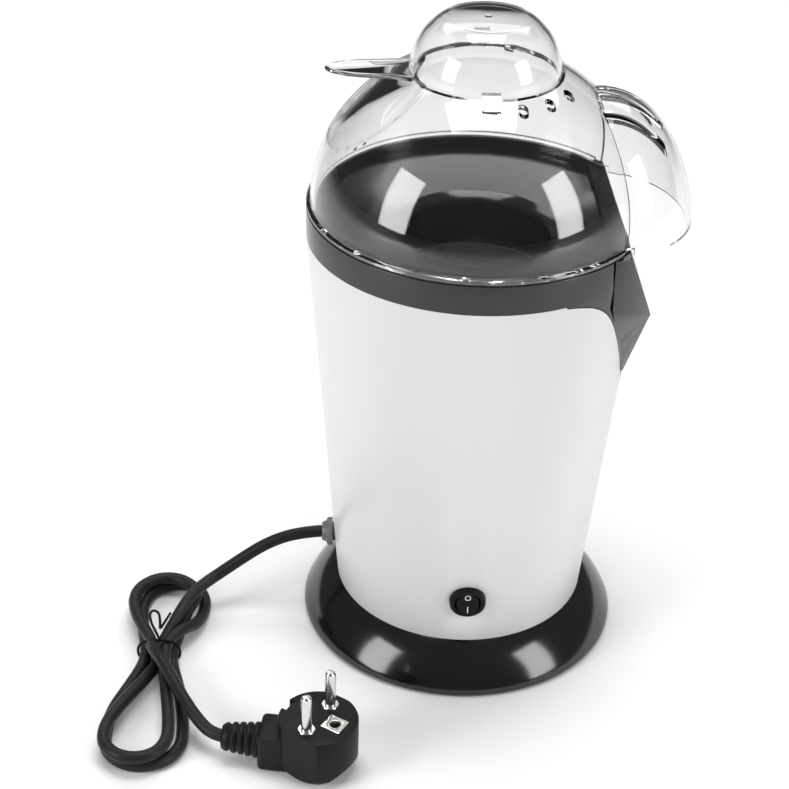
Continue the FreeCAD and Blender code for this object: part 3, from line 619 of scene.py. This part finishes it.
class POPCORN_OT_gland(bpy.types.Operator):
    """Grey bush where the cord leaves the shell"""

    bl_idname = "popcorn.gland"
    bl_label = "Cord gland"

    def execute(self, context):
        bm = spun([
            (2.96, -7.0), (4.5, -7.0), (4.5, 0.9), (6.75, 0.9), (6.75, 2.9), (6.2, 3.6), (5.2, 3.9),
            (4.9, 4.6), (4.3, 6.0), (2.96, 6.0),
        ], steps=64)
        finished(placed(bm, GLAND_PLACE), "gland", grey_nylon(), nodes=["cord_gland"],
                 sharp=40.0)
        return {"FINISHED"}


# ---------------------------------------------------------------- plug

PLUG_AT = Vector((-67.2, -118.6, 0.0))
PLUG_PLACE = Matrix.Translation(PLUG_AT * MM) @ Matrix.Rotation(math.radians(57.8), 4, "Z")
BOOT_HEADING = math.radians(171.7)
BOOT_AXIS = Vector((math.cos(BOOT_HEADING), math.sin(BOOT_HEADING), 0.0))
BOOT_END = PLUG_AT + BOOT_AXIS * 43.0 + Vector((0.0, 0.0, 10.4))
BOOT_PLACE = (Matrix.Translation(BOOT_END * MM)
              @ Matrix.Rotation(BOOT_HEADING, 4, "Z") @ Matrix.Rotation(math.pi / 2, 4, "Y"))


class POPCORN_OT_plug(bpy.types.Operator):
    """Angled earthed plug with its ribbed boot and pins"""

    bl_idname = "popcorn.plug"
    bl_label = "Mains plug"

    def execute(self, context):
        body = spun([
            (0.0, 0.2), (11.5, 0.2), (13.8, 0.7), (17.2, 4.6), (17.6, 6.0), (17.6, 26.0), (17.3, 26.7),
            (16.6, 27.0), (0.0, 27.0),
        ])
        sliced(body, (-15.2, 0.0, 0.0), (-1.0, 0.0, 0.0))
        sliced(body, (16.4, 0.0, 0.0), (1.0, 0.0, 0.0))
        sliced(body, (0.0, -8.0, 0.2), (0.0, -0.663, -0.749))
        neck = brick((8.0, -9.0, 0.2), (26.0, 9.0, 19.5))
        soften(neck, 0.0024, 40.0, 4, keep=lambda e: e.verts[0].co.x > 0.02)
        body = combined(body, [
            ("UNION", placed(neck, Matrix.Rotation(math.radians(113.9), 4, "Z"))),
            ("DIFFERENCE", brick((-3.5, 14.4, 19.8), (3.5, 21.4, 32.0))),
            ("DIFFERENCE", brick((-4.6, -13.3, 25.6), (4.6, -3.5, 32.0))),
            ("DIFFERENCE", placed(rod(3.4, 12.0, 27.0), Matrix.Translation((0.0, -0.0086, 0.0)))),
        ])
        soften(body, 0.0005, 40.0, 2)
        finished(placed(body, PLUG_PLACE), "plug_shell", plug_black(), nodes=["plug_body"])
        profile = [(0.0, -17.0), (8.0, -17.0)]
        for rib in range(4):
            low = -16.6 + 3.3 * rib
            big = 7.9 - 0.35 * rib
            profile += [(big - 0.1, low - 0.1), (big, low + 0.6), (big, low + 1.3),
                        (big - 0.4, low + 1.9), (big - 1.2, low + 2.2), (big - 1.2, low + 2.9)]
        profile += [(6.4, -3.0), (6.2, -1.8), (5.2, -0.4), (3.1, 0.0), (0.0, 0.0)]
        boot = placed(spun(profile, steps=64), BOOT_PLACE)
        finished(boot, "boot", plug_black(), nodes=["plug_boot"], sharp=50.0)
        for index, side in enumerate((-1.0, 1.0), start=1):
            pin = spun([
                (0.0, 17.0), (2.4, 17.0), (2.4, 27.0), (3.8, 27.0), (3.8, 27.5), (3.5, 27.8),
                (2.4, 27.8), (2.4, 43.8), (2.15, 45.0), (1.4, 45.8), (0.6, 46.0), (0.0, 46.0),
            ], steps=48)
            place = PLUG_PLACE @ Matrix.Translation((side * 0.0095, 0.0, 0.0))
            finished(placed(pin, place), "pin_%d" % index, nickel(),
                     nodes=["plug_pin_%d" % index])
        for node in ("earth_clip", "earth_socket"):
            piece = soften(node_copy(node), 0.00025, 40.0, 2)
            finished(piece, node + "_metal", nickel(), nodes=[node])
        return {"FINISHED"}


# ---------------------------------------------------------------- cord

CORD_ROUTE = [
    # out of the gland, down and over the back loop to the tie
    (-66.7, 0.0, 40.0), (-78.0, 0.0, 39.0), (-93.0, -0.6, 33.4), (-107.0, -2.8, 24.0),
    (-117.0, -5.6, 17.6), (-124.5, -11.0, 15.2), (-130.0, -19.5, 14.4), (-134.8, -29.0, 11.2),
    (-139.6, -38.5, 6.4), (-142.2, -45.0, 4.4), (-142.5, -50.5, 4.2), (-143.2, -58.5, 4.6),
    # front loop, upper turn
    (-147.4, -72.0, 7.6), (-155.0, -88.0, 9.0), (-161.6, -102.0, 9.0), (-162.1, -114.6, 9.0),
    (-156.4, -122.6, 9.0), (-147.3, -125.6, 9.0), (-138.6, -122.8, 9.0), (-133.6, -114.4, 9.0),
    (-133.8, -102.0, 9.0), (-135.6, -88.0, 9.0), (-137.6, -73.0, 8.8), (-139.0, -60.0, 8.9),
    (-139.5, -50.5, 9.5),
    # back loop, lower turn
    (-136.6, -43.5, 9.6), (-131.5, -36.5, 9.4), (-126.2, -28.6, 5.2), (-123.9, -19.0, 3.1),
    (-123.1, -9.0, 3.1), (-126.6, 0.6, 3.1), (-134.4, 5.6, 3.1), (-143.6, 4.4, 3.1),
    (-151.2, -2.4, 3.1), (-153.7, -13.6, 3.1), (-152.2, -27.0, 3.1), (-150.0, -40.0, 3.7),
    (-148.4, -50.5, 4.2),
    # front loop, lower turn
    (-150.0, -59.5, 3.6), (-155.5, -74.0, 3.1), (-160.8, -88.0, 3.1), (-162.0, -101.0, 3.1),
    (-161.6, -112.0, 3.1), (-155.3, -121.0, 3.1), (-144.8, -124.3, 3.1), (-134.3, -121.0, 3.1),
    (-127.9, -112.0, 3.1), (-127.8, -99.0, 3.1), (-129.6, -84.0, 3.1), (-132.4, -70.0, 3.2),
    (-135.6, -59.0, 4.0), (-136.6, -50.5, 4.2),
    # back loop, upper turn
    (-135.4, -41.0, 3.8), (-133.8, -30.5, 4.4), (-130.8, -21.0, 8.4), (-126.6, -12.0, 9.0),
    (-130.0, -3.2, 9.0), (-137.8, 2.2, 9.0), (-147.2, 2.0, 9.0), (-154.8, -4.2, 9.0),
    (-157.6, -13.0, 9.0), (-156.0, -24.0, 9.2), (-150.6, -37.6, 9.9), (-146.6, -46.0, 10.0),
    (-145.8, -51.5, 10.8),
    # over the tied strands and on to the plug
    (-143.8, -58.5, 14.0), (-138.8, -69.0, 15.6), (-132.8, -82.0, 15.0), (-126.0, -96.0, 14.0),
    (-119.4, -105.4, 11.6), (-113.9, -111.0, 10.4), (-108.5, -112.6, 10.4),
]


def smooth_line(name, points, radius, material):
    """Round line along one smooth spline whose control points are in millimetres."""
    curve = bpy.data.curves.new(name, "CURVE")
    curve.dimensions = "3D"
    spline = curve.splines.new("NURBS")
    spline.points.add(len(points) - 1)
    for point, (x, y, z) in zip(spline.points, points):
        point.co = (x * MM, y * MM, z * MM, 1.0)
    spline.order_u = 3
    spline.use_endpoint_u = True
    spline.resolution_u = 6
    curve.bevel_depth = radius
    curve.bevel_resolution = 6
    curve.use_fill_caps = True
    item = bpy.data.objects.new(name, curve)
    bpy.context.scene.collection.objects.link(item)
    curve.materials.append(material)
    return item


class POPCORN_OT_cord(bpy.types.Operator):
    """Mains cord with its tied hank"""

    bl_idname = "popcorn.cord"
    bl_label = "Mains cord"

    def execute(self, context):
        diameter = sizes().cord_diameter
        cord = smooth_line("cord", CORD_ROUTE, diameter / 2.0, cord_black())
        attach(cord, "base")
        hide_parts("cord_lead", "cord_hank", "cord_tail")
        return {"FINISHED"}


TIE_ROUTE = [
    (-141.0, -50.5, 13.3), (-148.5, -50.3, 12.9), (-152.2, -50.2, 9.6), (-152.5, -50.2, 4.6),
    (-150.4, -50.3, 0.8), (-142.5, -50.5, 0.7), (-134.6, -50.7, 0.8), (-132.4, -50.8, 4.6),
    (-132.9, -50.8, 9.6), (-136.2, -50.7, 12.9), (-141.6, -50.5, 13.5),
]
TIE_TAIL = [
    (-141.6, -50.4, 12.6), (-143.2, -50.0, 16.6), (-145.6, -49.6, 23.0), (-146.2, -49.4, 28.0),
    (-144.2, -49.2, 30.2), (-141.6, -49.2, 28.4), (-141.4, -49.4, 22.6), (-141.8, -49.6, 18.8),
    (-139.8, -49.4, 22.2), (-136.4, -49.2, 28.4),
]


class POPCORN_OT_tie(bpy.types.Operator):
    """Wire tie round the waist of the hank"""

    bl_idname = "popcorn.tie"
    bl_label = "Cord tie"

    def execute(self, context):
        loop = smooth_line("tie", TIE_ROUTE, 0.0006, satin_black())
        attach(loop, "base")
        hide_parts("cord_tie")
        tail = smooth_line("tie_tail", TIE_TAIL, 0.0006, satin_black())
        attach(tail, "base")
        return {"FINISHED"}


# ---------------------------------------------------------------- inside, stage

class POPCORN_OT_inside(bpy.types.Operator):
    """Finishes for the CAD pieces that keep their own shape"""

    bl_idname = "popcorn.inside"
    bl_label = "Inner pieces"

    def execute(self, context):
        for node, (_, make) in CAD_FINISHES.items():
            self.coat(node, make())
        for node, (name, colour, roughness, metallic) in INNER_FINISHES.items():
            self.coat(node, plastic(name, colour, 0.08, roughness, metallic=metallic, bump=0.15))
        return {"FINISHED"}

    def coat(self, node, material):
        slots = NODES[node].data.materials
        slots.clear()
        slots.append(material)


def area_light(name, at, aim, power, width, height, colour=(1.0, 1.0, 1.0)):
    data = bpy.data.lights.new(name, "AREA")
    data.shape = "RECTANGLE"
    data.size = width
    data.size_y = height
    data.energy = power
    data.color = colour
    lamp = bpy.data.objects.new(name, data)
    bpy.context.scene.collection.objects.link(lamp)
    lamp.location = at
    lamp.rotation_mode = "QUATERNION"
    lamp.rotation_quaternion = (Vector(aim) - Vector(at)).to_track_quat("-Z", "Y")
    return lamp


CAMERA_AT = Vector((-0.0634, -0.7244, 0.5717))
CAMERA_AHEAD = Vector((0.0347, 0.8471, -0.5303))
CAMERA_UP = Vector((-0.0096, 0.5309, 0.8474))
CAMERA_LENS = 84.41
FLOOR_SIZE = 15.0


class POPCORN_OT_stage(bpy.types.Operator):
    """Camera, soft studio light and a plain pale floor"""

    bl_idname = "popcorn.stage"
    bl_label = "Stage"

    def execute(self, context):
        data = bpy.data.cameras.new("camera")
        data.sensor_width = 36.0
        data.lens = CAMERA_LENS
        data.clip_end = 20.0
        camera = bpy.data.objects.new("camera", data)
        context.scene.collection.objects.link(camera)
        ahead = CAMERA_AHEAD.normalized()
        up = (CAMERA_UP - ahead * CAMERA_UP.dot(ahead)).normalized()
        side = ahead.cross(up)
        turn = Matrix((side, up, -ahead)).transposed()
        camera.rotation_mode = "QUATERNION"
        camera.rotation_quaternion = turn.to_quaternion()
        camera.location = CAMERA_AT
        context.scene.camera = camera

        world = bpy.data.worlds.new("studio")
        world.use_nodes = True
        nodes, links = world.node_tree.nodes, world.node_tree.links
        way = nodes.new("ShaderNodeTexCoord")
        split = nodes.new("ShaderNodeSeparateXYZ")
        dome = nodes.new("ShaderNodeValToRGB")
        dome.color_ramp.elements[0].position = 0.05
        dome.color_ramp.elements[0].color = (0.14, 0.14, 0.14, 1.0)
        dome.color_ramp.elements[1].position = 0.85
        dome.color_ramp.elements[1].color = (0.22, 0.22, 0.22, 1.0)
        links.new(way.outputs["Generated"], split.inputs["Vector"])
        links.new(split.outputs["Z"], dome.inputs["Fac"])
        links.new(dome.outputs["Color"], nodes["Background"].inputs["Color"])
        nodes["Background"].inputs["Strength"].default_value = 0.8
        context.scene.world = world
        context.scene.view_settings.view_transform = "Standard"

        area_light("left", (-1.35, -0.75, 0.7), (0.0, 0.0, 0.15), 16.0, 0.6, 1.1)
        area_light("right", (1.3, -0.8, 0.7), (0.0, 0.0, 0.15), 14.0, 0.55, 1.1)
        area_light("backdrop", (0.0, 1.5, 1.7), (0.0, 1.4, 0.0), 26.0, 2.6, 1.2)
        area_light("top", (0.0, 0.1, 1.6), (0.0, 0.0, 0.2), 11.0, 0.9, 0.6)

        bm = bmesh.new()
        bmesh.ops.create_grid(bm, x_segments=1, y_segments=1, size=FLOOR_SIZE)
        floor = to_object(bm, "floor")
        floor.data.materials.append(
            plastic("floor_paper", (0.95, 0.95, 0.95), 0.01, 0.7, grain=300.0, bump=0.02))
        return {"FINISHED"}


# ---------------------------------------------------------------- add-on

class POPCORN_PT_panel(bpy.types.Panel):
    """Lists the pieces and the settings"""

    bl_idname = "POPCORN_PT_panel"
    bl_label = "Popcorn Maker"
    bl_space_type = "VIEW_3D"
    bl_region_type = "UI"
    bl_category = "Popcorn"

    def draw(self, context):
        column = self.layout.column()
        for settings in (context.scene.popcorn_sizes, context.scene.popcorn_colours):
            for key in settings.__annotations__:
                column.prop(settings, key)
        for operator in PIECES:
            column.operator(operator.bl_idname)


PIECES = (
    POPCORN_OT_stage, POPCORN_OT_plug, POPCORN_OT_tie, POPCORN_OT_cord, POPCORN_OT_base,
    POPCORN_OT_shell, POPCORN_OT_collar, POPCORN_OT_tray, POPCORN_OT_cover, POPCORN_OT_cup,
    POPCORN_OT_switch, POPCORN_OT_gland, POPCORN_OT_inside,
)
CLASSES = (PopcornSizes, PopcornColours, *PIECES, POPCORN_PT_panel)


def register():
    for cls in CLASSES:
        bpy.utils.register_class(cls)
    bpy.types.Scene.popcorn_sizes = bpy.props.PointerProperty(type=PopcornSizes)
    bpy.types.Scene.popcorn_colours = bpy.props.PointerProperty(type=PopcornColours)


def unregister():
    del bpy.types.Scene.popcorn_colours
    del bpy.types.Scene.popcorn_sizes
    for cls in reversed(CLASSES):
        bpy.utils.unregister_class(cls)


def main():
    register()
    for operator in PIECES:
        group, name = operator.bl_idname.split(".")
        getattr(getattr(bpy.ops, group), name)()


if __name__ == "__main__":
    main()
